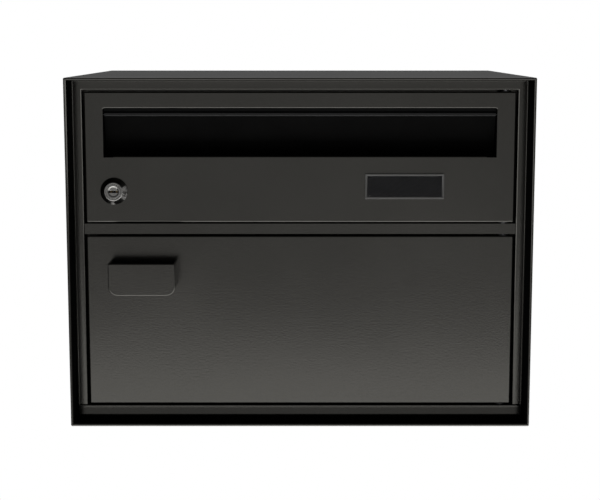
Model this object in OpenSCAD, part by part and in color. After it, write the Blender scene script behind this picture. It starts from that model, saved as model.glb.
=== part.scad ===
// Wall-mounted letterbox. A hemmed steel sleeve holds a recessed front frame with two doors, one
// above the other: a lockable door with a letter slot, and a plain door with a cup pull.
// Millimetres. X runs to the right, Y runs back to the wall and Z runs up. The origin is the centre
// of the four wall bolts, on the wall.

/* [Casing] */
// Width over the casing
overall_w = 410; // [340:1:500]
// Height over the casing
overall_h = 310; // [270:1:400]
// Depth from the wall to the front edge
overall_d = 315; // [200:1:400]
// Thickness of the casing sheet, which the front hem doubles
casing_sheet = 1.25; // [1:0.05:1.6]
// Depth of the front hem
hem_depth = 49; // [49:1:80]
// Depth of the flanges on the back panel
back_flange = 15; // [8:1:30]
// Gap between the ends of those flanges
flange_gap = 0.4; // [0.2:0.1:1]
// Height of the flanges that stiffen the divider shelf
shelf_flange = 12; // [6:1:20]

/* [Wall fixing] */
// Distance across between the wall bolts
bolt_across = 300; // [200:1:340]
// Distance up between the wall bolts
bolt_up = 200; // [160:1:240]
// Diameter of a wall bolt hole
bolt_hole = 7; // [5:0.5:9]
// Diameter of a load-spreading washer
washer_d = 20; // [14:1:30]
// Thickness of a load-spreading washer
washer_t = 2; // [1:0.1:3]

/* [Front frame] */
// From the front edge back to the face of the frame
frame_setback = 30; // [20:1:40]
// Visible width of a stile
stile_bar = 8.8; // [7:0.1:16]
// Visible height of the head
head_bar = 9; // [7:0.1:16]
// Visible height of the sill
sill_bar = 9.85; // [7:0.05:16]
// Visible height of the mullion
mullion_bar = 9.3; // [8:0.1:16]
// Height of the lower door's opening
lower_opening_h = 157.5; // [120:0.5:180]
// Thickness of the frame sheet
frame_sheet = 1.2; // [0.8:0.1:1.5]
// How far the frame's outer edge stands in front of its face
frame_lip = 1.5; // [0.5:0.1:3]
// How far a stop flange reaches behind a door
stop_w = 9; // [7:0.5:12]
// Gap between a stop flange and a closed door
stop_gap = 4; // [3.6:0.1:6]
// Joint between the stiles and what butts against them
butt_gap = 0.3; // [0.1:0.1:0.6]

/* [Doors] */
// How far the doors stand in front of the frame
door_proud = 2; // [0:0.1:4]
// Thickness of the door sheet
door_sheet = 1.2; // [0.8:0.1:1.5]
// Depth of a door's folded edges
door_return = 15; // [14:0.5:20]
// Inward lip at the back of the folded edges
door_lip = 6; // [4:0.5:8]
// Gap beside a door
door_gap_side = 2.2; // [2:0.1:4]
// Gap above and below a door
door_gap_end = 1.6; // [1.5:0.1:3]

/* [Hinges] */
// From a door's hinged edge to the pin
pivot_in = 8.5; // [8.5:0.1:12]
// From a door's front back to the pin
pivot_back = 6.5; // [6:0.1:7]
// Diameter of a hinge pin
pin_d = 4; // [3:0.1:4.5]
// Running clearance around a pin
pin_clearance = 0.05; // [0.02:0.01:0.1]
// Wall of a hinge bush
bush_wall = 1.2; // [0.8:0.1:1.5]
// Length of a bush inside its door
bush_len = 5; // [4:0.5:10]
// Thickness of a bush's flange
bush_flange_t = 1; // [0.6:0.1:1.1]

/* [Letter slot] */
// Width of the slot
slot_w = 350; // [280:1:360]
// Height of the slot
slot_h = 42.6; // [30:0.1:50]
// From the door's lower edge up to the slot
slot_up = 59.2; // [52:0.1:62]
// Depth of the fold along the slot's lower edge
slot_fold = 9; // [6:0.5:12]
// Relief notch at each end of that fold
slot_relief = 8.5; // [5:0.5:12]
// Radius of the slot's upper corners
slot_corner = 2; // [1:0.5:4]
// Outer diameter of the flap's rolled edge
flap_roll_d = 3.4; // [3:0.1:4]
// From the slot's upper edge down to the rolled edge's axis
flap_axis_down = 5.5; // [4:0.1:8]
// Diameter of the flap's axle
axle_d = 1.8; // [1.5:0.1:2]
// How far the closed flap leans inwards, in degrees
flap_lean = 22; // [16:1:30]
// Thickness of the flap
flap_t = 1; // [0.8:0.1:1.2]
// How far the flap hangs below the slot
flap_below = 5.4; // [5:0.1:8]
// Clearance between the flap and its neighbours
flap_clear = 0.4; // [0.3:0.1:0.8]

/* [Lock] */
// From the door's free edge to the lock
lock_in = 25.4; // [24:0.1:27]
// From the door's lower edge up to the lock
lock_up = 27.9; // [27:0.1:32]
// Diameter of the bezel at the door
bezel_d = 24.4; // [22:0.1:28]
// Diameter of the bezel's flat face
bezel_face_d = 16.2; // [15:0.1:18]
// How far the bezel stands off the door
bezel_h = 5.5; // [4:0.1:8]
// Diameter of the lock's barrel
barrel_d = 17; // [16:0.1:19]
// Diameter of the plug
plug_d = 13; // [12:0.1:14]
// Running clearance around the plug
plug_clearance = 0.05; // [0.02:0.01:0.1]
// Length of the keyway
keyway_w = 8.4; // [7:0.1:9]
// Height of the keyway
keyway_h = 2; // [1.6:0.1:2.4]
// From the plug's axis to the tip of the cam
cam_len = 24.5; // [22:0.1:25]
// Width of the cam
cam_w = 14; // [10:0.5:16]
// Thickness of the cam
cam_t = 2; // [1.5:0.1:2.5]

/* [Name plate] */
// Width of the name plate
plate_w = 70.6; // [50:0.1:80]
// Height of the name plate
plate_h = 22.6; // [18:0.1:26]
// Depth of the name plate's holder
plate_t = 2; // [1.6:0.1:3]
// Border of the holder
plate_border = 2; // [1.2:0.1:3]
// From the door's hinged edge to the plate's centre
plate_in = 98.2; // [80:0.1:130]
// From the door's lower edge up to the plate's centre
plate_up = 32.3; // [28:0.1:36]

/* [Cup pull] */
// Width of the pull
pull_w = 59.5; // [50:0.5:80]
// Height of the pull
pull_h = 28.7; // [24:0.1:40]
// How far the pull stands off the door
pull_d = 26; // [18:0.5:28]
// Wall of the pull
pull_wall = 1.8; // [1.2:0.1:2.5]
// Radius of the pull's lower corners
pull_corner = 8.5; // [5:0.5:12]
// From the door's free edge to the pull's centre
pull_in = 51.6; // [45:0.1:80]
// From the door's upper edge down to the pull
pull_down = 21.4; // [15:0.1:40]

/* [Magnetic catch] */
// Height of the catch
catch_h = 40; // [30:1:60]
// Gap between the magnet and the strike plate
catch_gap = 0.4; // [0.3:0.1:0.8]

/* [Hidden] */
$fn = 64;
cut = 1; // how far a cutter runs past the face it opens

coat = "#3b3a38";
coat_light = "#4a4946";
steel = "#b9bbbd";
rubber = "#1c1c1c";
nylon = "#262628";
black_plastic = "#202022";

// The sleeve
half_w = overall_w / 2;
half_h = overall_h / 2;
front_y = -overall_d;
hem_t = 2 * casing_sheet;
sheet_x = half_w - casing_sheet; // inner face of the single sheet
sheet_z = half_h - casing_sheet;
hem_x = half_w - hem_t; // inner face of the hem
hem_z = half_h - hem_t;
hem_end = front_y + hem_depth;

// The front frame's openings
frame_y = front_y + frame_setback;
open_x = hem_x - stile_bar;
head_z = hem_z - head_bar;
sill_z = -hem_z + sill_bar;
mullion_low = sill_z + lower_opening_h;
mullion_high = mullion_low + mullion_bar;

// The doors
door_y = frame_y - door_proud;
door_back = door_y + door_return;
door_x = open_x - door_gap_side;
upper_low = mullion_high + door_gap_end;
upper_high = head_z - door_gap_end;
lower_low = sill_z + door_gap_end;
lower_high = mullion_low - door_gap_end;
stop_y = door_back + stop_gap;
stop_back = stop_y + frame_sheet;
stile_end = sill_z + butt_gap;

// The divider shelf
shelf_t = frame_sheet;
shelf_z = (mullion_low + mullion_high) / 2 - shelf_t / 2;
shelf_front = max(hem_end, stop_back); // where it widens, behind the hem and the stop flanges

// The hinges
pivot_x = door_x - pivot_in;
pivot_y = door_y + pivot_back;
pin_r = pin_d / 2;
pin_head_r = min(pin_r + 1, pivot_y - frame_y - frame_sheet - 0.1);
pin_head_t = 1;
bush_r = pin_r + pin_clearance + bush_wall;
pin_end_gap = 1; // how much shorter a pin is than its bush

// The slot and its flap
slot_low = upper_low + slot_up;
slot_high = slot_low + slot_h;
flap_roll_r = flap_roll_d / 2;
axle_r = axle_d / 2;
axle_clearance = 0.05;
flap_z = slot_high - flap_axis_down;
flap_y = door_y + door_sheet + flap_clear + flap_roll_r;
flap_half = slot_w / 2 - 2 * flap_clear;
flap_len = (flap_z - slot_low + flap_below) / cos(flap_lean);
strip_h = 4; // the rubber strip on the flap's free edge
strip_t = 1.5;
strip_inset = 6;
bracket_t = 1.5;
bracket_x = slot_w / 2 + flap_clear;

// The lock
lock_x = -door_x + lock_in;
lock_z = upper_low + lock_up;
face_y = door_y - bezel_h;
barrel_end = stop_y;
cam_y = stop_back + 0.8;
drive = 7; // the square on the plug's inner end
wafer_t = 0.8;
wafer_pitch = 2.4;
wafer_count = 5;
wafer_w = 6;
wafer_h = 11.6;

// The name plate
plate_x = door_x - plate_in;
plate_z = upper_low + plate_up;
label_t = 0.4;
plate_back_t = 0.5;
peg_r = 1.5;
peg_x = plate_w / 2 - 8;

// The cup pull
pull_x = -door_x + pull_in;
pull_high = lower_high - pull_down;
pull_low = pull_high - pull_h;
pull_front = door_y - pull_d;
pull_seat_h = 14; // the flange that is riveted to the door
rivet_r = 2;

// The magnetic catch
catch_z = (lower_low + lower_high) / 2;
strike_t = 1.2;
strike_in = -door_x + 1;
strike_w = 19;
catch_face = door_back + strike_t + catch_gap;
catch_nose_x = -open_x + stop_w + 1;

// A box given by its lowest and highest corners.
module block(low, high) {
    translate(low) cube(high - low);
}

// A round bar along one axis, given by its start.
module bar_x(start, r, len) {
    translate(start) rotate([0, 90, 0]) cylinder(r = r, h = len);
}

module bar_y(start, r, len) {
    translate(start) rotate([-90, 0, 0]) cylinder(r = r, h = len);
}

module bar_z(start, r, len) {
    translate(start) cylinder(r = r, h = len);
}

// An outline drawn in X and Z, given its thickness from y_low to y_high.
module upright(y_low, y_high) {
    translate([0, y_high, 0]) rotate([90, 0, 0]) linear_extrude(y_high - y_low) children();
}

// A rectangle with round corners, centred on the origin.
module round_rect(w, h, r) {
    square([w - 2 * r, h], center = true);
    square([w, h - 2 * r], center = true);
    for (x = [-1, 1], z = [-1, 1])
        translate([x * (w / 2 - r), z * (h / 2 - r)]) circle(r);
}

// A block whose front edges and corners are bent to a radius, as folded sheet is.
module bent_block(x, low, high, y_low, y_high, r) {
    mid = (low + high) / 2;
    translate([0, 0, mid]) upright(y_low + r, y_high) round_rect(2 * x, high - low, r);
    block([-x + r, y_low, low + r], [x - r, y_low + 2 * r, high - r]);
    for (z = [low + r, high - r]) bar_x([-x + r, y_low + r, z], r, 2 * (x - r));
    for (side = [-x + r, x - r]) {
        bar_z([side, y_low + r, low + r], r, high - low - 2 * r);
        for (z = [low + r, high - r]) translate([side, y_low + r, z]) sphere(r);
    }
}

// A strip that runs up one stile, across the head and down the other stile.
module arch(x_out, z_out, x_in, z_in, y_low, y_high) {
    difference() {
        block([-x_out, y_low, stile_end], [x_out, y_high, z_out]);
        block([-x_in, y_low - cut, stile_end - cut], [x_in, y_high + cut, z_in]);
    }
}

// One folded sheet: a sleeve whose front edge is turned back inside itself.
module casing_wrap() color(coat) {
    difference() {
        bent_block(half_w, -half_h, half_h, front_y, 0, casing_sheet);
        block([-hem_x, front_y - cut, -hem_z], [hem_x, cut, hem_z]);
        block([-sheet_x, hem_end, -sheet_z], [sheet_x, cut, sheet_z]);
    }
}

// A flat panel that closes the sleeve, with the four wall bolt holes.
module back_panel() color(coat) {
    difference() {
        block([-sheet_x, -casing_sheet, -sheet_z], [sheet_x, 0, sheet_z]);
        at_wall_bolts() bar_y([0, -casing_sheet - cut, 0], bolt_hole / 2, casing_sheet + 2 * cut);
    }
}

// Four flanges that stand round the panel's edge and are welded to the sleeve.
module back_flanges() color(coat) {
    x = sheet_x - casing_sheet;
    z = sheet_z - casing_sheet - flange_gap;
    for (side = [-sheet_z, sheet_z - casing_sheet])
        block([-sheet_x, -back_flange, side], [sheet_x, -casing_sheet, side + casing_sheet]);
    for (side = [-sheet_x, x])
        block([side, -back_flange, -z], [side + casing_sheet, -casing_sheet, z]);
}

module at_wall_bolts() {
    for (x = [-1, 1], z = [-1, 1])
        translate([x * bolt_across / 2, 0, z * bolt_up / 2]) children();
}

module wall_washers() color(steel) {
    at_wall_bolts() difference() {
        bar_y([0, -casing_sheet - washer_t, 0], washer_d / 2, washer_t);
        bar_y([0, -casing_sheet - washer_t - cut, 0], bolt_hole / 2, washer_t + 2 * cut);
    }
}

// Both stiles and the head, folded from one strip of channel.
module frame_surround() color(coat) {
    difference() {
        union() {
            arch(hem_x, hem_z, hem_x - frame_sheet, hem_z - frame_sheet,
                frame_y - frame_lip, stop_back);
            arch(hem_x, hem_z, open_x, head_z, frame_y, frame_y + frame_sheet);
            arch(open_x + frame_sheet, head_z + frame_sheet, open_x, head_z, frame_y, stop_back);
            arch(open_x + frame_sheet, head_z + frame_sheet, open_x - stop_w, head_z - stop_w,
                stop_y, stop_back);
        }
        bar_z([pivot_x, pivot_y, head_z - cut], pin_r, frame_sheet + 2 * cut);
    }
}

// The sill is a channel that runs the full width, under the ends of the stiles.
module frame_sill() color(coat) {
    difference() {
        union() {
            block([-hem_x, frame_y, -hem_z], [hem_x, frame_y + frame_sheet, sill_z]);
            block([-hem_x, frame_y - frame_lip, -hem_z], [hem_x, stop_back, -hem_z + frame_sheet]);
            block([-hem_x, frame_y, sill_z - frame_sheet], [hem_x, stop_back, sill_z]);
        }
        bar_z([pivot_x, pivot_y, sill_z - frame_sheet - cut], pin_r, frame_sheet + 2 * cut);
    }
}

// The mullion is a channel that butts between the stiles and carries two of the four pins.
module mullion() color(coat) {
    x = open_x - butt_gap;
    difference() {
        block([-x, frame_y, mullion_low], [x, stop_y, mullion_high]);
        block([-x - cut, frame_y + frame_sheet, mullion_low + frame_sheet],
            [x + cut, stop_y + cut, mullion_high - frame_sheet]);
        bar_z([pivot_x, pivot_y, mullion_low - cut], pin_r, mullion_bar + 2 * cut);
    }
}

// The floor between the two compartments, with a tongue inside the mullion.
module divider_shelf() color(coat) {
    tongue_x = open_x - stop_w - 1;
    tail_x = sheet_x - casing_sheet;
    block([-tongue_x, frame_y + frame_sheet, shelf_z], [tongue_x, shelf_front + cut, shelf_z + shelf_t]);
    block([-sheet_x, shelf_front, shelf_z], [sheet_x, -back_flange, shelf_z + shelf_t]);
    block([-tail_x, -back_flange - cut, shelf_z], [tail_x, -casing_sheet, shelf_z + shelf_t]);
    block([-tail_x, -casing_sheet - shelf_t, shelf_z], [tail_x, -casing_sheet, shelf_z + shelf_flange]);
    for (side = [-sheet_x, sheet_x - shelf_t])
        block([side, shelf_front, shelf_z], [side + shelf_t, -back_flange, shelf_z + shelf_flange]);
}

// A pin with its head inside the frame, standing out of the face at z towards a door.
module hinge_pin(z, way) {
    translate([pivot_x, pivot_y, z]) mirror([0, 0, way > 0 ? 0 : 1]) {
        bar_z([0, 0, -frame_sheet], pin_r, frame_sheet + door_gap_end + bush_len - pin_end_gap);
        bar_z([0, 0, -frame_sheet - pin_head_t], pin_head_r, pin_head_t);
    }
}

module upper_hinge_pins() color(steel) {
    hinge_pin(mullion_high, 1);
    hinge_pin(head_z, -1);
}

module lower_hinge_pins() color(steel) {
    hinge_pin(sill_z, 1);
    hinge_pin(mullion_low, -1);
}

// A flanged bush pressed into a door's folded edge at z.
module hinge_bush(z, way) {
    translate([pivot_x, pivot_y, z]) mirror([0, 0, way > 0 ? 0 : 1]) difference() {
        union() {
            bar_z([0, 0, -bush_flange_t], bush_r + 1.2, bush_flange_t);
            bar_z([0, 0, 0], bush_r, bush_len);
        }
        bar_z([0, 0, -cut - bush_flange_t], pin_r + pin_clearance, bush_len + bush_flange_t + 2 * cut);
    }
}

module upper_hinge_bushes() color(nylon) {
    hinge_bush(upper_low, 1);
    hinge_bush(upper_high, -1);
}

module lower_hinge_bushes() color(nylon) {
    hinge_bush(lower_low, 1);
    hinge_bush(lower_high, -1);
}

// Rubber buffers on the free side's stop flange, behind the corners of each door.
module door_bumpers() color(rubber) {
    bumper_len = stop_gap - 0.4;
    x = -door_x + door_lip / 2;
    for (z = [lower_low + 12, lower_high - 12, upper_low + 12, upper_high - 12])
        bar_y([x, stop_y - bumper_len, z], 3, bumper_len);
}

// A door is a pan: a flat front, four folded edges and an inward lip behind them.
module door_pan(low, high) {
    difference() {
        bent_block(door_x, low, high, door_y, door_back, door_sheet);
        block([-door_x + door_sheet, door_y + door_sheet, low + door_sheet],
            [door_x - door_sheet, door_back - door_sheet, high - door_sheet]);
        block([-door_x + door_lip, door_y + door_sheet, low + door_lip],
            [door_x - door_lip, door_back + cut, high - door_lip]);
        bar_z([pivot_x, pivot_y, low - cut], bush_r, high - low + 2 * cut);
    }
}

module slot_outline() {
    low = slot_low - door_sheet;
    translate([-slot_w / 2, low]) square([slot_w, slot_high - low - slot_corner]);
    translate([-slot_w / 2 + slot_corner, low]) square([slot_w - 2 * slot_corner, slot_high - low]);
    for (x = [-1, 1])
        translate([x * (slot_w / 2 - slot_corner), slot_high - slot_corner]) circle(slot_corner);
}

// The slot's lower edge is folded inwards, with a relief notch at each end.
module upper_door_panel() color(coat_light) {
    fold_x = slot_w / 2 - slot_relief;
    difference() {
        door_pan(upper_low, upper_high);
        upright(door_y - cut, door_y + 2 * door_sheet) slot_outline();
        bar_y([lock_x, door_y - cut, lock_z], barrel_d / 2, door_sheet + 2 * cut);
        for (x = [-1, 1])
            bar_y([plate_x + x * peg_x, door_y - cut, plate_z], peg_r, door_sheet + 2 * cut);
    }
    block([-fold_x, door_y + door_sheet, slot_low - door_sheet],
        [fold_x, door_y + slot_fold, slot_low]);
    bar_x([-fold_x, door_y + door_sheet, slot_low - door_sheet], door_sheet, 2 * fold_x);
}

// A top-hat rib welded across the inside of a door, with its flanges against the front sheet.
module stiffener(x_low, x_high, z) {
    rib_h = 16;
    rib_d = 7;
    foot = 6;
    y = door_y + door_sheet;
    difference() {
        union() {
            block([x_low, y, z - rib_h / 2 - foot], [x_high, y + 1, z + rib_h / 2 + foot]);
            block([x_low, y, z - rib_h / 2], [x_high, y + rib_d, z + rib_h / 2]);
        }
        block([x_low - cut, y - cut, z - rib_h / 2 + 1], [x_high + cut, y + rib_d - 1, z + rib_h / 2 - 1]);
    }
}

module upper_stiffener() color(steel) {
    room = barrel_d / 2 + 22;
    stiffener(lock_x + room, plate_x - plate_w / 2 - 4, (upper_low + slot_low) / 2);
}

// Behind the lower door the rib sits below the pull.
module lower_stiffener() color(steel) {
    stiffener(-door_x + 12, door_x - 24, (lower_low + pull_low) / 2 + 6);
}

// Two cheeks that carry the axle, each with a tab that the closed flap rests against, and a rail
// between them that is fixed above the slot and closes the gap over the rolled edge.
module flap_brackets() color(black_plastic) {
    front = door_y + door_sheet;
    tab_high = slot_low - door_sheet - 0.6;
    tab_low = tab_high - 3;
    tab_back = flap_front_y(tab_high) - flap_clear;
    foot_w = 7;
    rail_t = 1;
    rail_x = bracket_x + cut; // its ends run into the cheeks
    rail_low = slot_high + 0.8;
    rail_high = rail_low + 7;
    rail_back = flap_y + flap_roll_r + rail_t;
    drop_low = flap_z + flap_roll_r + flap_clear;
    difference() {
        union() {
            for (side = [0, 1]) mirror([side, 0, 0]) {
                block([bracket_x, front, tab_low], [bracket_x + bracket_t, tab_back, rail_high]);
                block([bracket_x, front, tab_low], [bracket_x + foot_w, front + rail_t, rail_high]);
                block([flap_half - 4, tab_back - 2, tab_low], [bracket_x + bracket_t, tab_back, tab_high]);
            }
            block([-rail_x, front, rail_low], [rail_x, front + rail_t, rail_high]);
            block([-rail_x, front, rail_low], [rail_x, rail_back, rail_low + rail_t]);
            block([-rail_x, rail_back - rail_t, drop_low], [rail_x, rail_back, rail_low + rail_t]);
        }
        bar_x([-bracket_x - bracket_t - cut, flap_y, flap_z], axle_r, 2 * (bracket_x + bracket_t + cut));
    }
}

// The front of the closed flap at a height: the flap leans, so this runs back as it goes down.
function flap_front_y(z) = flap_y + (flap_z - z) * tan(flap_lean) - flap_t / 2 / cos(flap_lean);

module flap_axle() color(steel) {
    bar_x([-bracket_x - bracket_t - 1, flap_y, flap_z], axle_r, 2 * (bracket_x + bracket_t + 1));
}

// The flap hangs from its rolled upper edge and opens inwards.
module slot_flap() color(black_plastic) {
    bore_r = axle_r + axle_clearance;
    sheet_top = (bore_r + flap_roll_r) / 2; // inside the wall of the roll
    difference() {
        bar_x([-flap_half, flap_y, flap_z], flap_roll_r, 2 * flap_half);
        bar_x([-flap_half - cut, flap_y, flap_z], bore_r, 2 * (flap_half + cut));
    }
    translate([0, flap_y, flap_z]) rotate([flap_lean, 0, 0])
        block([-flap_half, -flap_t / 2, -flap_len], [flap_half, flap_t / 2, -sheet_top]);
}

module flap_edge_strip() color(rubber) {
    translate([0, flap_y, flap_z]) rotate([flap_lean, 0, 0])
        block([-flap_half + strip_inset, flap_t / 2, -flap_len],
            [flap_half - strip_inset, flap_t / 2 + strip_t, -flap_len + strip_h]);
}

// The lock's body: a conical bezel in front of the door and a threaded barrel behind it.
module lock_housing() color(steel) {
    rim_t = 1;
    difference() {
        translate([lock_x, face_y, lock_z]) rotate([-90, 0, 0]) rotate_extrude()
            polygon([[0, 0], [bezel_face_d / 2, 0], [bezel_d / 2, bezel_h - rim_t],
                [bezel_d / 2, bezel_h], [barrel_d / 2, bezel_h], [barrel_d / 2, barrel_end - face_y],
                [0, barrel_end - face_y]]);
        bar_y([lock_x, face_y - cut, lock_z], plug_d / 2 + plug_clearance, barrel_end - face_y + 2 * cut);
    }
}

module lock_nut() color(steel) {
    nut_t = 4;
    difference() {
        translate([lock_x, door_y + door_sheet, lock_z]) rotate([-90, 0, 0])
            cylinder(r = 13, h = nut_t, $fn = 6);
        bar_y([lock_x, door_y, lock_z], barrel_d / 2, nut_t + 3 * cut);
    }
}

// The plug, with a level keyway in a shallow dish, and one slot across it for each wafer.
module lock_plug() color(steel) {
    front = face_y - 0.3;
    dish_r = 5;
    difference() {
        union() {
            bar_y([lock_x, front, lock_z], plug_d / 2, barrel_end - front + 0.6);
            block([lock_x - drive / 2, barrel_end, lock_z - drive / 2],
                [lock_x + drive / 2, cam_y + cam_t, lock_z + drive / 2]);
        }
        block([lock_x - keyway_w / 2, front - cut, lock_z - keyway_h / 2],
            [lock_x + keyway_w / 2, front + 21, lock_z + keyway_h / 2]);
        translate([lock_x, front, lock_z]) rotate([-90, 0, 0]) rotate_extrude()
            polygon([[0, -cut], [dish_r, -cut], [dish_r, 0], [dish_r - 1.2, 0.8], [0, 0.8]]);
        for (i = [0:wafer_count - 1])
            wafer_block(i, 0.1, plug_d);
    }
}

// A flat across the plug for wafer number i, grown by a clearance.
module wafer_block(i, grow, tall) {
    y = face_y + 5 + i * wafer_pitch;
    block([lock_x - wafer_w / 2 - grow, y - grow, lock_z - tall / 2],
        [lock_x + wafer_w / 2 + grow, y + wafer_t + grow, lock_z + tall / 2]);
}

module lock_wafers() color("goldenrod") {
    for (i = [0:wafer_count - 1]) difference() {
        wafer_block(i, 0, wafer_h);
        block([lock_x - wafer_w / 2 + 1, face_y, lock_z - keyway_h / 2 - 0.6 - 0.2 * (i % 3)],
            [lock_x + wafer_w / 2 - 1, face_y + 30, lock_z + keyway_h / 2 + 0.6]);
    }
}

// The cam hangs down while the lock is open and turns behind the stile's stop flange to lock.
module lock_cam() color(steel) {
    difference() {
        union() {
            bar_y([lock_x, cam_y, lock_z], cam_w / 2, cam_t);
            block([lock_x - cam_w / 2, cam_y, lock_z - cam_len + 2], [lock_x + cam_w / 2, cam_y + cam_t, lock_z]);
            block([lock_x - cam_w / 2 + 2, cam_y, lock_z - cam_len],
                [lock_x + cam_w / 2 - 2, cam_y + cam_t, lock_z]);
            for (x = [-1, 1])
                bar_y([lock_x + x * (cam_w / 2 - 2), cam_y, lock_z - cam_len + 2], 2, cam_t);
        }
        block([lock_x - drive / 2, cam_y - cut, lock_z - drive / 2],
            [lock_x + drive / 2, cam_y + cam_t + cut, lock_z + drive / 2]);
    }
}

module cam_washer() color(steel) {
    bar_y([lock_x, cam_y + cam_t, lock_z], 6, 0.8);
}

module cam_screw() color(steel) {
    y = cam_y + cam_t + 0.8;
    difference() {
        bar_y([lock_x, y, lock_z], 3.6, 2.4);
        for (turn = [0, 90]) translate([lock_x, y + 1.4, lock_z]) rotate([0, turn, 0])
            block([-2.6, 0, -0.5], [2.6, 2, 0.5]);
    }
}

// The holder is a tray with two pegs that pass through the door.
module nameplate_holder() color(coat_light) {
    inner_w = plate_w - 2 * plate_border;
    inner_h = plate_h - 2 * plate_border;
    translate([plate_x, 0, plate_z]) {
        difference() {
            upright(door_y - plate_t, door_y) round_rect(plate_w, plate_h, 0.6);
            block([-inner_w / 2, door_y - plate_t - cut, -inner_h / 2],
                [inner_w / 2, door_y - plate_back_t, inner_h / 2]);
        }
        for (x = [-1, 1])
            bar_y([x * peg_x, door_y - plate_back_t, 0], peg_r, plate_back_t + door_sheet + 3);
    }
}

module nameplate_label() color("#2a2a2a") {
    w = plate_w - 2 * plate_border - 0.4;
    h = plate_h - 2 * plate_border - 0.4;
    translate([plate_x, 0, plate_z])
        block([-w / 2, door_y - plate_back_t - label_t, -h / 2], [w / 2, door_y - plate_back_t, h / 2]);
}

// The clear cover has three small notches along its top and its bottom, to lift it out by.
module nameplate_window() color("#303234") {
    w = plate_w - 2 * plate_border - 0.2;
    h = plate_h - 2 * plate_border - 0.2;
    notch_w = 5;
    notch_h = 1;
    low = door_y - plate_t + 0.2;
    translate([plate_x, 0, plate_z]) difference() {
        block([-w / 2, low, -h / 2], [w / 2, door_y - plate_back_t - label_t, h / 2]);
        for (x = [-w / 2, 0, w / 2], z = [-h / 2, h / 2])
            block([x - notch_w / 2, low - cut, z - notch_h], [x + notch_w / 2, low + 0.6, z + notch_h]);
    }
}

module nameplate_retainers() color(steel) {
    for (x = [-1, 1]) difference() {
        bar_y([plate_x + x * peg_x, door_y + door_sheet, plate_z], 4, 0.8);
        bar_y([plate_x + x * peg_x, door_y, plate_z], peg_r, 4);
    }
}

module lower_door_panel() color(coat_light) {
    difference() {
        door_pan(lower_low, lower_high);
        at_pull_rivets() bar_y([0, door_y - cut, 0], rivet_r, door_sheet + 2 * cut);
    }
}

// The pull's outline: a rectangle with two large lower corners.
module pull_outline(inset) {
    w = pull_w / 2 - inset;
    low = pull_low + inset;
    r = pull_corner - inset;
    translate([-w, low + r]) square([2 * w, pull_high - low - r]);
    translate([-w + r, low]) square([2 * (w - r), r]);
    for (x = [-1, 1]) translate([x * (w - r), low + r]) circle(r);
}

module at_pull_rivets() {
    for (x = [-1, 1])
        translate([pull_x + x * (pull_w / 2 - pull_corner - 4), 0, pull_low + pull_seat_h / 2]) children();
}

// A cup that is open at the top, with a seat along its lower back for the rivets.
module pull_handle() color(coat_light) {
    difference() {
        translate([pull_x, 0, 0]) {
            difference() {
                upright(pull_front, door_y) pull_outline(0);
                upright(pull_front + pull_wall, door_y + cut) pull_outline(pull_wall);
                block([-pull_w / 2 + pull_wall, pull_front + pull_wall, pull_high - cut],
                    [pull_w / 2 - pull_wall, door_y + cut, pull_high + cut]);
            }
            intersection() {
                upright(door_y - pull_wall, door_y) pull_outline(pull_wall / 2);
                block([-pull_w, door_y - pull_wall - cut, pull_low],
                    [pull_w, door_y + cut, pull_low + pull_seat_h]);
            }
        }
        at_pull_rivets() bar_y([0, door_y - pull_wall - cut, 0], rivet_r, pull_wall + 2 * cut);
    }
}

module pull_rivets() color(steel) {
    head_t = 1.2;
    at_pull_rivets() {
        bar_y([0, door_y - pull_wall, 0], rivet_r, pull_wall + door_sheet);
        bar_y([0, door_y - pull_wall - head_t, 0], rivet_r + 1.5, head_t);
        bar_y([0, door_y + door_sheet, 0], rivet_r + 1.5, head_t);
    }
}

// The catch stands behind the free stile's stop flange, level with the middle of the lower door.
module catch_housing() color(black_plastic) {
    back = stop_back + 10;
    outer = -open_x + 1;
    inner = catch_nose_x + 14;
    half = catch_h / 2;
    difference() {
        union() {
            block([outer, stop_back, catch_z - half], [inner, back, catch_z + half]);
            block([catch_nose_x, catch_face, catch_z - half], [inner, back, catch_z + half]);
        }
        block([catch_nose_x + 2, catch_face - cut, catch_z - half + 8],
            [inner - 2, catch_face + 6, catch_z + half - 8]);
        at_catch_screws() bar_y([0, stop_back - cut, 0], 1.6, 12);
    }
}

module at_catch_screws() {
    for (z = [-1, 1])
        translate([-open_x + stop_w / 2, 0, catch_z + z * (catch_h / 2 - 6)]) children();
}

module catch_magnet() color("#55565a") {
    inner = catch_nose_x + 14;
    block([catch_nose_x + 2, catch_face, catch_z - catch_h / 2 + 8],
        [inner - 2, catch_face + 6, catch_z + catch_h / 2 - 8]);
}

module catch_screws() color(steel) {
    at_catch_screws() {
        bar_y([0, stop_back, 0], 1.6, 10);
        bar_y([0, stop_back + 10, 0], 3, 1.6);
    }
}

// The strike plate lies on the lip behind the lower door's free edge.
module catch_strike() color(steel) {
    difference() {
        block([strike_in, door_back, catch_z - catch_h / 2],
            [strike_in + strike_w, door_back + strike_t, catch_z + catch_h / 2]);
        at_strike_rivets() bar_y([0, door_back - cut, 0], 1.2, strike_t + 2 * cut);
    }
}

module at_strike_rivets() {
    for (z = [-1, 1]) translate([-door_x + door_lip / 2, 0, catch_z + z * (catch_h / 2 - 5)]) children();
}

module strike_rivets() color(steel) {
    at_strike_rivets() {
        bar_y([0, door_back, 0], 1.2, strike_t);
        bar_y([0, door_back + strike_t, 0], 2.2, 0.8);
    }
}

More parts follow.
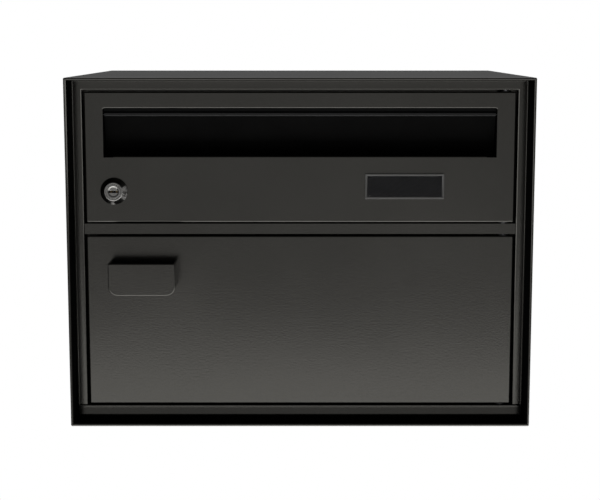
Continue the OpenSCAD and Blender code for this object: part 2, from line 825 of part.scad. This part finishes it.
casing_wrap();
back_panel();
back_flanges();
wall_washers();
frame_surround();
frame_sill();
mullion();
divider_shelf();
upper_hinge_pins();
lower_hinge_pins();
door_bumpers();
catch_housing();
catch_magnet();
catch_screws();
upper_door_panel();
upper_hinge_bushes();
upper_stiffener();
flap_brackets();
flap_axle();
lock_housing();
lock_nut();
nameplate_holder();
nameplate_label();
nameplate_window();
nameplate_retainers();
lock_plug();
lock_wafers();
lock_cam();
cam_washer();
cam_screw();
slot_flap();
flap_edge_strip();
lower_door_panel();
lower_hinge_bushes();
lower_stiffener();
pull_handle();
pull_rivets();
catch_strike();
strike_rivets();
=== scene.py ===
"""A steel letterbox for a wall: a hemmed sleeve, a recessed frame, a locking door with a letter slot
and a plain door with a cup pull. Metres; X to the right, Y back to the wall, Z up."""
import math

import bmesh
import bpy
from mathutils import Matrix, Vector


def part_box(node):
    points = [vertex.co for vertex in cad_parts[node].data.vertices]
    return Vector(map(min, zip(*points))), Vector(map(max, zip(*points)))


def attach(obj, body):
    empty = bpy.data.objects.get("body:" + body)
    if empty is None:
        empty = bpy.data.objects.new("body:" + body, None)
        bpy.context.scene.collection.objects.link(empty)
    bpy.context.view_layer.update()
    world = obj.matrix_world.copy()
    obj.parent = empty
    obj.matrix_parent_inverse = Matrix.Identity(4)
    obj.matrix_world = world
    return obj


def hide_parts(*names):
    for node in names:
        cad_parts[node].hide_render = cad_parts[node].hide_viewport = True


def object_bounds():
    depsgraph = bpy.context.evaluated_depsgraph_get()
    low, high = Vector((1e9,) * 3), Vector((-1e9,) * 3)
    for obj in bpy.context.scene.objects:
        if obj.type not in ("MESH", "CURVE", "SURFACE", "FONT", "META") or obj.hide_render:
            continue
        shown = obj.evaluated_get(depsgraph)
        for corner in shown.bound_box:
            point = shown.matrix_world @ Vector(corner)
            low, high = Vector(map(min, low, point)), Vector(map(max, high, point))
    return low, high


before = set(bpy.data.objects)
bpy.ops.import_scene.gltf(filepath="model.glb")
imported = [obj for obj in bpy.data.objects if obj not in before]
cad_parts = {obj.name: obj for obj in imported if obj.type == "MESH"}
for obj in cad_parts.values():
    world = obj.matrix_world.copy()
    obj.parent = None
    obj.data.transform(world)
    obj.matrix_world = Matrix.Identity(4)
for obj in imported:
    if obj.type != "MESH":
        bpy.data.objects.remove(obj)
cad_low, cad_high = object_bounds()

# ---------------------------------------------------------------------------------------- the studio
# The box hangs above a pale floor. Softboxes stand over it, in front of it and at both sides, and those
# that lie on the floor light every edge that faces down. The lens is long and looks slightly down.
lens_ahead = 1.2322  # from the rim of the box
lens_up = 0.1853  # from the middle of the box
look_down = 8.34
camera = bpy.data.objects.new("camera", bpy.data.cameras.new("camera"))
camera.data.lens = 85.04
camera.data.sensor_width = 36.0
camera.location = (0, cad_low.y - lens_ahead, lens_up)
camera.rotation_euler = (math.radians(90 - look_down), 0, 0)
bpy.context.scene.collection.objects.link(camera)
bpy.context.scene.camera = camera


def lay_floor(below, front, back, half_width):
    shape = bmesh.new()
    bmesh.ops.create_grid(shape, x_segments=1, y_segments=1, size=1)
    bmesh.ops.scale(shape, verts=shape.verts, vec=(half_width, (back - front) / 2, 1))
    bmesh.ops.translate(shape, verts=shape.verts, vec=(0, (back + front) / 2, -below))
    mesh = bpy.data.meshes.new("floor")
    shape.to_mesh(mesh)
    shape.free()
    paper = bpy.data.materials.new("floor_paper")
    paper.use_nodes = True
    shader = paper.node_tree.nodes["Principled BSDF"]
    shader.inputs["Base Color"].default_value = (0.88, 0.88, 0.88, 1)
    shader.inputs["Roughness"].default_value = 1.0
    shader.inputs["Specular IOR Level"].default_value = 0.0
    mesh.materials.append(paper)
    floor = bpy.data.objects.new("floor", mesh)
    bpy.context.scene.collection.objects.link(floor)


def softbox(name, place, aim, width, height, power):
    light = bpy.data.lights.new(name, "AREA")
    light.shape = "RECTANGLE"
    light.size, light.size_y = width, height
    light.energy = power
    lamp = bpy.data.objects.new(name, light)
    lamp.location = place
    lamp.rotation_euler = (Vector(aim) - Vector(place)).to_track_quat("-Z", "Y").to_euler()
    lamp.visible_camera = False
    bpy.context.scene.collection.objects.link(lamp)


def hang_backdrop(seen, felt):
    """A backdrop that is white to the eye and dim as a light, as with black flags around the set."""
    sky = bpy.data.worlds.new("studio")
    sky.use_nodes = True
    tree = sky.node_tree
    dim = tree.nodes["Background"]
    dim.inputs["Color"].default_value = (1, 1, 1, 1)
    dim.inputs["Strength"].default_value = felt
    white = tree.nodes.new("ShaderNodeBackground")
    white.inputs["Color"].default_value = (1, 1, 1, 1)
    white.inputs["Strength"].default_value = seen
    path = tree.nodes.new("ShaderNodeLightPath")
    either = tree.nodes.new("ShaderNodeMixShader")
    tree.links.new(path.outputs["Is Camera Ray"], either.inputs["Fac"])
    tree.links.new(dim.outputs[0], either.inputs[1])
    tree.links.new(white.outputs[0], either.inputs[2])
    tree.links.new(either.outputs[0], tree.nodes["World Output"].inputs["Surface"])
    bpy.context.scene.world = sky


lay_floor(below=0.9, front=-4.5, back=1.5, half_width=4.5)
softbox("overhead", (0, 1.3, 2.4), (0, 1.3, 0), 3.0, 3.0, 40)
softbox("front", (0, -4.2, -0.25), (0, 0, -0.25), 5.0, 1.3, 11)
softbox("low_front", (0, -2.75, -0.88), (0, -2.75, 0), 2.4, 2.1, 34)
softbox("under", (0, -0.45, -0.88), (0, -0.45, 0), 2.6, 1.8, 60)
softbox("low_right", (2.0, -0.9, -0.85), (0, -0.3, 0), 0.4, 0.4, 8)
for side, end in (("left", -1), ("right", 1)):
    softbox(f"{side}_side", (end * 3.4, 0.9, 0.6), (0, 0.2, 0.2), 4.6, 2.2, 45)
hang_backdrop(seen=1.0, felt=0.12)
bpy.context.scene.view_settings.view_transform = "Standard"


# ---------------------------------------------------------------------------------------- the sleeve
# One steel sheet folded round into a sleeve, with its front edge hemmed back inside. It is powder
# coated: a satin grey skin with a fine orange peel, thinner and a little lighter along its edges.
class Wire:
    """A socket inside a material, with plain arithmetic on it."""

    def __init__(self, tree, socket):
        self.tree = tree
        self.socket = socket

    def node(self, kind, sockets, out=0, **settings):
        """A new node with these settings, and with values or other wires in its sockets."""
        made = self.tree.nodes.new(kind)
        for name, value in settings.items():
            setattr(made, name, value)
        for name, value in sockets.items():
            if isinstance(value, Wire):
                self.tree.links.new(value.socket, made.inputs[name])
            else:
                made.inputs[name].default_value = value
        return Wire(self.tree, made.outputs[out])

    def maths(self, operation, first, second=0.0):
        return self.node("ShaderNodeMath", {0: first, 1: second}, operation=operation)

    def __add__(self, other):
        return self.maths("ADD", self, other)

    def __sub__(self, other):
        return self.maths("SUBTRACT", self, other)

    def __rsub__(self, other):
        return self.maths("SUBTRACT", other, self)

    def __mul__(self, other):
        return self.maths("MULTIPLY", self, other)

    def __pow__(self, other):
        return self.maths("POWER", self, other)

    def __rpow__(self, other):
        return self.maths("POWER", other, self)

    __radd__ = __add__
    __rmul__ = __mul__

    def noise(self, scale, detail=2.0, roughness=0.5):
        """A soft random pattern about 0.5 at this place, with so many lumps to the metre."""
        return self.node("ShaderNodeTexNoise",
                         {"Vector": self, "Scale": scale, "Detail": detail, "Roughness": roughness})

    def step(self, low, high):
        """0 below low, 1 above high, and smooth between them."""
        return self.node("ShaderNodeMapRange", {"Value": self, "From Min": low, "From Max": high},
                         interpolation_type="SMOOTHSTEP")

    def tint(self, low, high):
        """A colour from low, where this is 0, to high, where it is 1."""
        return self.node("ShaderNodeMix", {0: self, 6: (*low, 1), 7: (*high, 1)}, out=2,
                         data_type="RGBA")

    def relief(self, depth, over=None):
        """A bump so many metres deep, on top of another bump if one is given."""
        sockets = {"Height": self, "Distance": depth, "Strength": 1.0}
        if over:
            sockets["Normal"] = over
        return self.node("ShaderNodeBump", sockets)

    def axis(self, letter):
        return self.node("ShaderNodeSeparateXYZ", {0: self}, out="XYZ".index(letter))

    def stretched(self, x, y, z):
        return self.node("ShaderNodeMapping", {"Vector": self, "Scale": (x, y, z)})

    def edges(self, reach):
        """1 where a corner of the piece is within reach, 0 on its open faces."""
        straight = self.node("ShaderNodeNewGeometry", {}, out=1)
        rounded = self.node("ShaderNodeBevel", {"Radius": reach}, samples=6)
        alike = self.node("ShaderNodeVectorMath", {0: straight, 1: rounded}, out=1,
                          operation="DOT_PRODUCT")
        return (1 - alike).step(0.01, 0.12)


def finish(name, made_by, **constants):
    """A material whose sockets come from made_by(place), and whose even values are set directly."""
    material = bpy.data.materials.new(name)
    material.use_nodes = True
    tree = material.node_tree
    shader = tree.nodes["Principled BSDF"]
    place = Wire(tree, tree.nodes.new("ShaderNodeTexCoord").outputs["Object"])
    for socket, value in made_by(place).items():
        tree.links.new(value.socket, shader.inputs[socket])
    for socket, value in constants.items():
        shader.inputs[socket.replace("_", " ")].default_value = value
    return material


def powder_coat(place):
    clouds = place.noise(9, 3)
    grain = place.noise(1500, 1)
    peel = place.noise(620, 2, 0.4)
    edge = place.edges(0.0007)
    shade = (clouds * 0.35 + grain * 0.65).step(0.3, 0.7)
    rubbed = (edge * place.noise(160, 3)).step(0.35, 0.75)
    light = shade * 0.75 + rubbed * 0.25
    return {
        "Base Color": light.tint((0.040, 0.0389, 0.0354), (0.053, 0.0515, 0.0472)),
        "Roughness": clouds * 0.05 + grain * 0.05 + 0.12 - rubbed * 0.06,
        "Normal": peel.relief(0.00003, grain.relief(0.00001)),
    }


coat = finish("satin_powder_coat", powder_coat, Metallic=0.9)


def merged(node):
    """A node's own shape, with one vertex where its triangles meet and its flat faces whole."""
    shape = bmesh.new()
    shape.from_mesh(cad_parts[node].data)
    bmesh.ops.remove_doubles(shape, verts=shape.verts, dist=2e-6)
    bmesh.ops.dissolve_limit(shape, angle_limit=math.radians(1), verts=shape.verts, edges=shape.edges)
    return shape


def round_over(shape, edges, radius, segments=2):
    """Rounds some edges of the sheet, as bending, shearing and coating leave them."""
    edges = [edge for edge in edges if edge.is_valid]
    bmesh.ops.bevel(shape, geom=edges, offset=radius, offset_type="OFFSET", affect="EDGES",
                    segments=segments, profile=0.5, material=-1, clamp_overlap=True)


def corners(shape, steeper_than=35):
    """The edges that stand out of the shape and turn by more than this angle."""
    return [edge for edge in shape.edges if edge.is_manifold and edge.is_convex
            and edge.calc_face_angle() > math.radians(steeper_than)]


def along(edge, axis, value, slack=0.00025):
    """True if the whole edge lies at this value of one axis, on either side of the middle for X."""
    i = "XYZ".index(axis)
    return all(abs((abs(v.co[i]) if axis == "X" else v.co[i]) - value) < slack for v in edge.verts)


def shown(shape, name, body, material, slot, *nodes):
    """Puts a shape in the scene as a piece that rides on a body and stands for these nodes."""
    mesh = bpy.data.meshes.new(name)
    shape.to_mesh(mesh)
    shape.free()
    mesh.shade_smooth()
    mesh.set_sharp_from_angle(angle=math.radians(34))
    mesh.materials.append(material)
    piece = bpy.data.objects.new(name, mesh)
    bpy.context.scene.collection.objects.link(piece)
    even = piece.modifiers.new("even", "WEIGHTED_NORMAL")
    even.keep_sharp = True
    even.weight = 100
    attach(piece, body)
    if nodes:
        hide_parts(*nodes)
    return piece


def dress(material, *nodes):
    """Gives nodes that keep their own shape a finished material."""
    for node in nodes:
        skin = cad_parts[node].data.materials
        skin.clear()
        skin.append(material)


# Near-black and without reflection: painted shade for the sleeve's inner walls in front of the frame.
def flat_black(place):
    dust = place.noise(240, 4)
    return {
        "Base Color": dust.tint((0.0010, 0.0010, 0.0010), (0.0024, 0.0024, 0.0023)),
        "Roughness": dust * 0.1 + 0.75,
        "Normal": place.noise(1200, 2).relief(0.00003),
    }


sleeve = merged("casing_wrap")
rim = 0.0025  # the hem doubles the sheet
slack = 0.0001
inner_x = cad_high.x - rim + slack
inner_z = cad_high.z - rim + slack
frame_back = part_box("frame_surround")[1].y
for face in sleeve.faces:
    middle = face.calc_center_median()
    faces_inwards = abs(face.normal.y) < 0.5 and abs(middle.x) < inner_x and abs(middle.z) < inner_z
    if faces_inwards and middle.y < frame_back:
        face.material_index = 1  # the sleeve's inner walls in front of the frame are painted near-black: painted shade for the dark recess
round_over(sleeve, [edge for edge in corners(sleeve) if along(edge, "Y", cad_low.y)], 0.0011, 3)
piece = shown(sleeve, "sleeve", "casing", coat, "coated_steel", "casing_wrap")
# The second material paints the recess walls near-black, as shade.
piece.data.materials.append(finish("recess_walls_painted_shade", flat_black, Specular_IOR_Level=0.0))

# ------------------------------------------------------------------------------------ the wall fixing
# A flat steel panel with four welded flanges closes the back, coated like the sleeve. Four zinc-plated
# washers spread the load of the wall screws, and show the cloudy, bluish face of bright zinc.
for node, name in (("back_panel", "back_sheet"), ("back_flanges", "back_strips")):
    back = merged(node)
    round_over(back, corners(back, 60), 0.0003)
    shown(back, name, "casing", coat, "coated_steel", node)


def zinc_plate(place):
    clouds = place.noise(45, 4)
    rolled = place.stretched(1, 1, 14).noise(260, 2)
    edge = place.edges(0.0005)
    return {
        "Base Color": (clouds * 0.7 + edge * 0.3).tint((0.40, 0.41, 0.43), (0.62, 0.62, 0.61)),
        "Roughness": clouds * 0.16 + rolled * 0.1 + 0.2,
        "Normal": rolled.relief(0.00001, clouds.relief(0.00004)),
    }


zinc = finish("bright_zinc", zinc_plate, Metallic=1.0)
dress(zinc, "wall_washers")

# ------------------------------------------------------------------------------------ the middle shelf
# A folded floor between the two compartments, with up-turned edges that are spot welded to the sleeve.
shelf = merged("divider_shelf")
round_over(shelf, corners(shelf, 60), 0.0003)
shown(shelf, "middle_shelf", "casing", coat, "coated_steel", "divider_shelf")

# ------------------------------------------------------------------------------------- the front frame
# Both stiles and the head are one strip of channel, mitred at the top. The sill runs under the ends
# of the stiles and the mullion butts between them. Every bend has the radius a press brake leaves.
butt_gap = 0.0003  # between the mullion's ends and the stiles
door_gap = 0.0016  # between a door's edge and the frame, above and below
face_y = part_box("mullion")[0].y
mullion_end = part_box("mullion")[1].x
open_x = mullion_end + butt_gap
head_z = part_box("upper_door_panel")[1].z + door_gap
sill_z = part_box("lower_door_panel")[0].z - door_gap


def folded(node, name, is_bend):
    """A folded piece of the frame: generous on its bends and only broken at its sheared edges."""
    shape = merged(node)
    bends = [edge for edge in corners(shape, 60) if is_bend(edge)]
    round_over(shape, bends, 0.0011, 4)
    round_over(shape, corners(shape, 60), 0.00022)
    shown(shape, name, "casing", coat, "coated_steel", node)


folded("frame_surround", "stiles_and_head",
       lambda edge: along(edge, "Y", face_y) and (along(edge, "X", open_x) or along(edge, "Z", head_z)))
folded("frame_sill", "sill", lambda edge: along(edge, "Y", face_y) and along(edge, "Z", sill_z))
folded("mullion", "mullion_channel",
       lambda edge: along(edge, "Y", face_y) and not along(edge, "X", mullion_end))

# ------------------------------------------------------------------------------- the pins and the stops
# Plated steel pins, headed inside the frame, turn in flanged black bushes pressed into the doors.
# Four rubber buffers on the free side's stop flange quieten the doors.
dress(zinc, "upper_hinge_pins", "lower_hinge_pins")


def black_nylon(place):
    haze = place.noise(120, 3)
    return {
        "Base Color": haze.tint((0.012, 0.012, 0.013), (0.026, 0.026, 0.027)),
        "Roughness": haze * 0.15 + 0.4,
        "Normal": place.noise(900, 2).relief(0.00002),
    }


def soft_rubber(place):
    bloom = place.noise(260, 4)
    return {
        "Base Color": bloom.tint((0.012, 0.012, 0.012), (0.030, 0.030, 0.029)),
        "Roughness": bloom * 0.2 + 0.65,
        "Normal": place.noise(2200, 2).relief(0.00003),
    }


nylon = finish("black_nylon", black_nylon)
rubber = finish("soft_black_rubber", soft_rubber)
dress(nylon, "upper_hinge_bushes", "lower_hinge_bushes")
buffers = merged("door_bumpers")
round_over(buffers, corners(buffers, 60), 0.0007, 3)
shown(buffers, "buffers", "casing", rubber, "buffer_rubber", "door_bumpers")

# ------------------------------------------------------------------------------------ the magnetic catch
# A moulded black housing screwed behind the stile holds a sintered block magnet. The lower door's
# strike plate stops just short of it.


def moulded_black(place):
    texture = place.noise(1300, 3)
    return {
        "Base Color": place.noise(70, 3).tint((0.014, 0.014, 0.016), (0.024, 0.024, 0.026)),
        "Roughness": texture * 0.2 + 0.4,
        "Normal": texture.relief(0.00003),
    }


def sintered(place):
    grit = place.noise(1800, 4, 0.7)
    return {
        "Base Color": grit.tint((0.07, 0.07, 0.075), (0.17, 0.17, 0.18)),
        "Roughness": grit * 0.3 + 0.4,
        "Normal": grit.relief(0.00005),
    }


moulding = finish("moulded_black_plastic", moulded_black)
housing = merged("catch_housing")
round_over(housing, corners(housing, 60), 0.0005)
shown(housing, "catch_body", "casing", moulding, "black_plastic", "catch_housing")
dress(finish("sintered_magnet", sintered, Metallic=0.6), "catch_magnet")
dress(zinc, "catch_screws", "catch_strike", "strike_rivets")

# --------------------------------------------------------------------------------------- the upper door
# A pan of the same coated sheet with a letter slot cut in it. The slot's lower edge is folded inwards
# between two relief notches, and its upper edge is pressed to a soft round so that no hand is cut.
door_coat = finish("door_powder_coat", powder_coat, Metallic=0.9)
door_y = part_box("upper_door_panel")[0].y
bend = 0.0009
break_edge = 0.0002


def lower_bend(shape, node):
    """The bend along the foot of a door's face, which has the full radius of the press brake."""
    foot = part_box(node)[0].z
    return [edge for edge in corners(shape, 60) if along(edge, "Y", door_y) and along(edge, "Z", foot)]


slot_side = 0.175
slot_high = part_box("slot_flap")[1].z + 0.0038  # the roll hangs this far below the slot's upper edge
slot_corner = 0.002  # the radius of the slot's upper corners, which are pressed as well
slack = 0.0002


def on_slot_top(vertex):
    across = abs(vertex.co.x) < slot_side + slack
    return across and slot_high - slot_corner - slack < vertex.co.z < slot_high + slack


door = merged("upper_door_panel")
pressed = [edge for edge in corners(door, 30)
           if along(edge, "Y", door_y) and all(on_slot_top(vertex) for vertex in edge.verts)]
round_over(door, pressed, bend, 3)
round_over(door, lower_bend(door, "upper_door_panel"), bend, 3)
round_over(door, corners(door, 60), break_edge)
shown(door, "slot_door", "upper_door", door_coat, "coated_door", "upper_door_panel")
dress(zinc, "upper_stiffener")

# ------------------------------------------------------------------------------------ the slot's flap
# A flat black flap whose upper edge is hemmed round a steel axle into a flattened roll. Its axle sits in
# the cheeks of an enamelled bracket, whose rail closes the gap over the roll. It leans inwards. The
# enamel is black, and its colour is darkened much further as painted shade for the deep slot.
flap_low, flap_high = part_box("slot_flap")
half_roll = 0.0017
half_sheet = 0.0005
axle_y = flap_low.y + half_roll
axle_z = flap_high.z - half_roll
lean = math.radians(22)


# Black enamel whose colour is pushed far below real black paint: partly its own black, partly painted
# shade of the slot.
def black_enamel_and_painted_shade(place):
    sag = place.noise(55, 2)
    return {
        "Base Color": sag.tint((0.0014, 0.0014, 0.0014), (0.0026, 0.0026, 0.0025)),
        "Roughness": place.noise(900, 2) * 0.08 + 0.42,
        "Normal": place.noise(500, 1).relief(0.00001, sag.relief(0.0002)),
    }


def block(shape, low, high):
    """A block between two corners, added to a shape."""
    low, high = Vector(low), Vector(high)
    made = bmesh.ops.create_cube(shape, size=1)["verts"]
    bmesh.ops.scale(shape, verts=made, vec=high - low)
    bmesh.ops.translate(shape, verts=made, vec=(low + high) / 2)
    return made


# The flap's near-black colour is partly real black enamel and partly painted shade.
enamel = finish("flat_black_enamel", black_enamel_and_painted_shade, Specular_IOR_Level=0.005)
hem = bmesh.new()
block(hem, (flap_low.x, axle_y - half_roll, axle_z - half_roll),
      (flap_high.x, axle_y + half_roll, axle_z + half_roll))
flattened = [edge for edge in hem.edges
             if along(edge, "Y", axle_y - half_roll) or along(edge, "Y", axle_y + half_roll)]
round_over(hem, flattened, 0.0008, 4)
glossy = finish("hem_enamel", black_enamel_and_painted_shade, Specular_IOR_Level=0.22)
shown(hem, "flap_hem", "flap", glossy, "flap_enamel")
flap = bmesh.new()
short_by = 0.0002  # so that the leaf's turned foot stays inside the flap's own height
leaf = (axle_z - flap_low.z) / math.cos(lean) - short_by
block(flap, (flap_low.x, -half_sheet, -leaf), (flap_high.x, half_sheet, 0))
round_over(flap, list(flap.edges), 0.0003)
bmesh.ops.rotate(flap, verts=flap.verts, cent=(0, 0, 0), matrix=Matrix.Rotation(lean, 3, "X"))
bmesh.ops.translate(flap, verts=flap.verts, vec=(0, axle_y, axle_z))
shown(flap, "flap_leaf", "flap", enamel, "flap_enamel", "slot_flap")
dress(finish("bracket_enamel", black_enamel_and_painted_shade, Specular_IOR_Level=0.09), "flap_brackets")
dress(glossy, "flap_axle")
dress(rubber, "flap_edge_strip")

# --------------------------------------------------------------------------------------------- the lock
# A turned and nickel-plated cam lock: a conical bezel with a flat face, and a plug with a level keyway
# in a shallow dish. Fine rings from the lathe still show through the plating.
plug_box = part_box("lock_plug")
lock_x = (plug_box[0].x + plug_box[1].x) / 2
lock_z = (plug_box[0].z + plug_box[1].z) / 2


def nickel_plate(place):
    x = place.axis("X") - lock_x
    z = place.axis("Z") - lock_z
    out = (x * x + z * z) ** 0.5
    rings = place.maths("SINE", out * 14000)  # a ring every 0.45 mm
    wear = place.noise(420, 4)
    edge = place.edges(0.0006)
    return {
        "Base Color": (wear * 0.6 + edge * 0.4).tint((0.13, 0.128, 0.122), (0.26, 0.256, 0.247)),
        "Roughness": wear * 0.1 + 0.13,
        "Normal": rings.relief(0.0000015, wear.relief(0.000012)),
    }


nickel = finish("satin_nickel", nickel_plate, Metallic=1.0)
bezel = merged("lock_housing")
round_over(bezel, corners(bezel, 30), 0.00035, 3)
shown(bezel, "lock_bezel", "upper_door", nickel, "nickel", "lock_housing")
plug = merged("lock_plug")
dish_y = plug_box[0].y + 0.0012  # just behind the floor of the dish
turned = [edge for edge in corners(plug, 30) if all(vertex.co.y < dish_y for vertex in edge.verts)]
round_over(plug, turned, 0.0002)
shown(plug, "key_plug", "plug", nickel, "nickel", "lock_plug")


def tarnished_brass(place):
    wear = place.noise(500, 3)
    return {
        "Base Color": wear.tint((0.14, 0.10, 0.045), (0.24, 0.175, 0.085)),
        "Roughness": wear * 0.2 + 0.28,
        "Normal": place.noise(1500, 2).relief(0.00001),
    }


dress(finish("tarnished_brass", tarnished_brass, Metallic=1.0), "lock_wafers")
dress(zinc, "lock_nut", "lock_cam", "cam_washer", "cam_screw")

# --------------------------------------------------------------------------------------- the name plate
# A moulded holder pinned through the door, a blank dark card, and a smoked window with small notches
# to lift it out by.


def moulded_grey(place):
    texture = place.noise(1100, 3)
    return {
        "Base Color": place.noise(60, 3).tint((0.030, 0.0295, 0.028), (0.040, 0.0395, 0.037)),
        "Roughness": texture * 0.12 + 0.36,
        "Normal": texture.relief(0.00002),
    }


def dark_card(place):
    fibre = place.stretched(1, 1, 5).noise(1400, 4)
    return {
        "Base Color": fibre.tint((0.006, 0.006, 0.006), (0.010, 0.010, 0.010)),
        "Roughness": fibre * 0.1 + 0.8,
        "Normal": fibre.relief(0.00004),
    }


def smoked_plastic(place):
    flow = place.stretched(1, 1, 3).noise(40, 2)
    return {
        "Base Color": flow.tint((0.006, 0.006, 0.0065), (0.010, 0.010, 0.0105)),
        "Roughness": flow * 0.05 + 0.3,
        "Normal": flow.relief(0.00003),
    }


holder = merged("nameplate_holder")
round_over(holder, corners(holder, 60), 0.0004)
shown(holder, "plate_holder", "upper_door", finish("moulded_grey_plastic", moulded_grey), "plate_plastic",
      "nameplate_holder")
dress(finish("dark_card", dark_card), "nameplate_label")
window = merged("nameplate_window")
round_over(window, corners(window, 60), 0.0003)
smoked = finish("smoked_plastic", smoked_plastic, Alpha=0.75, Specular_IOR_Level=0.11)
shown(window, "plate_window", "upper_door", smoked, "smoked_window", "nameplate_window")
dress(zinc, "nameplate_retainers")

# --------------------------------------------------------------------------------------- the lower door
# The same folded pan without a slot, with a rib inside it. The cup pull is open at the top, deep drawn
# from the same sheet with a soft front edge, and riveted on through its seat.
lower = merged("lower_door_panel")
round_over(lower, lower_bend(lower, "lower_door_panel"), bend, 3)
round_over(lower, corners(lower, 60), break_edge)
shown(lower, "plain_door", "lower_door", door_coat, "coated_door", "lower_door_panel")
dress(zinc, "lower_stiffener", "pull_rivets")
pull_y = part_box("pull_handle")[0].y
pull = merged("pull_handle")
round_over(pull, [edge for edge in corners(pull, 35) if along(edge, "Y", pull_y)], 0.001, 4)
round_over(pull, corners(pull, 60), 0.00025)
shown(pull, "cup_pull", "lower_door", door_coat, "coated_door", "pull_handle")
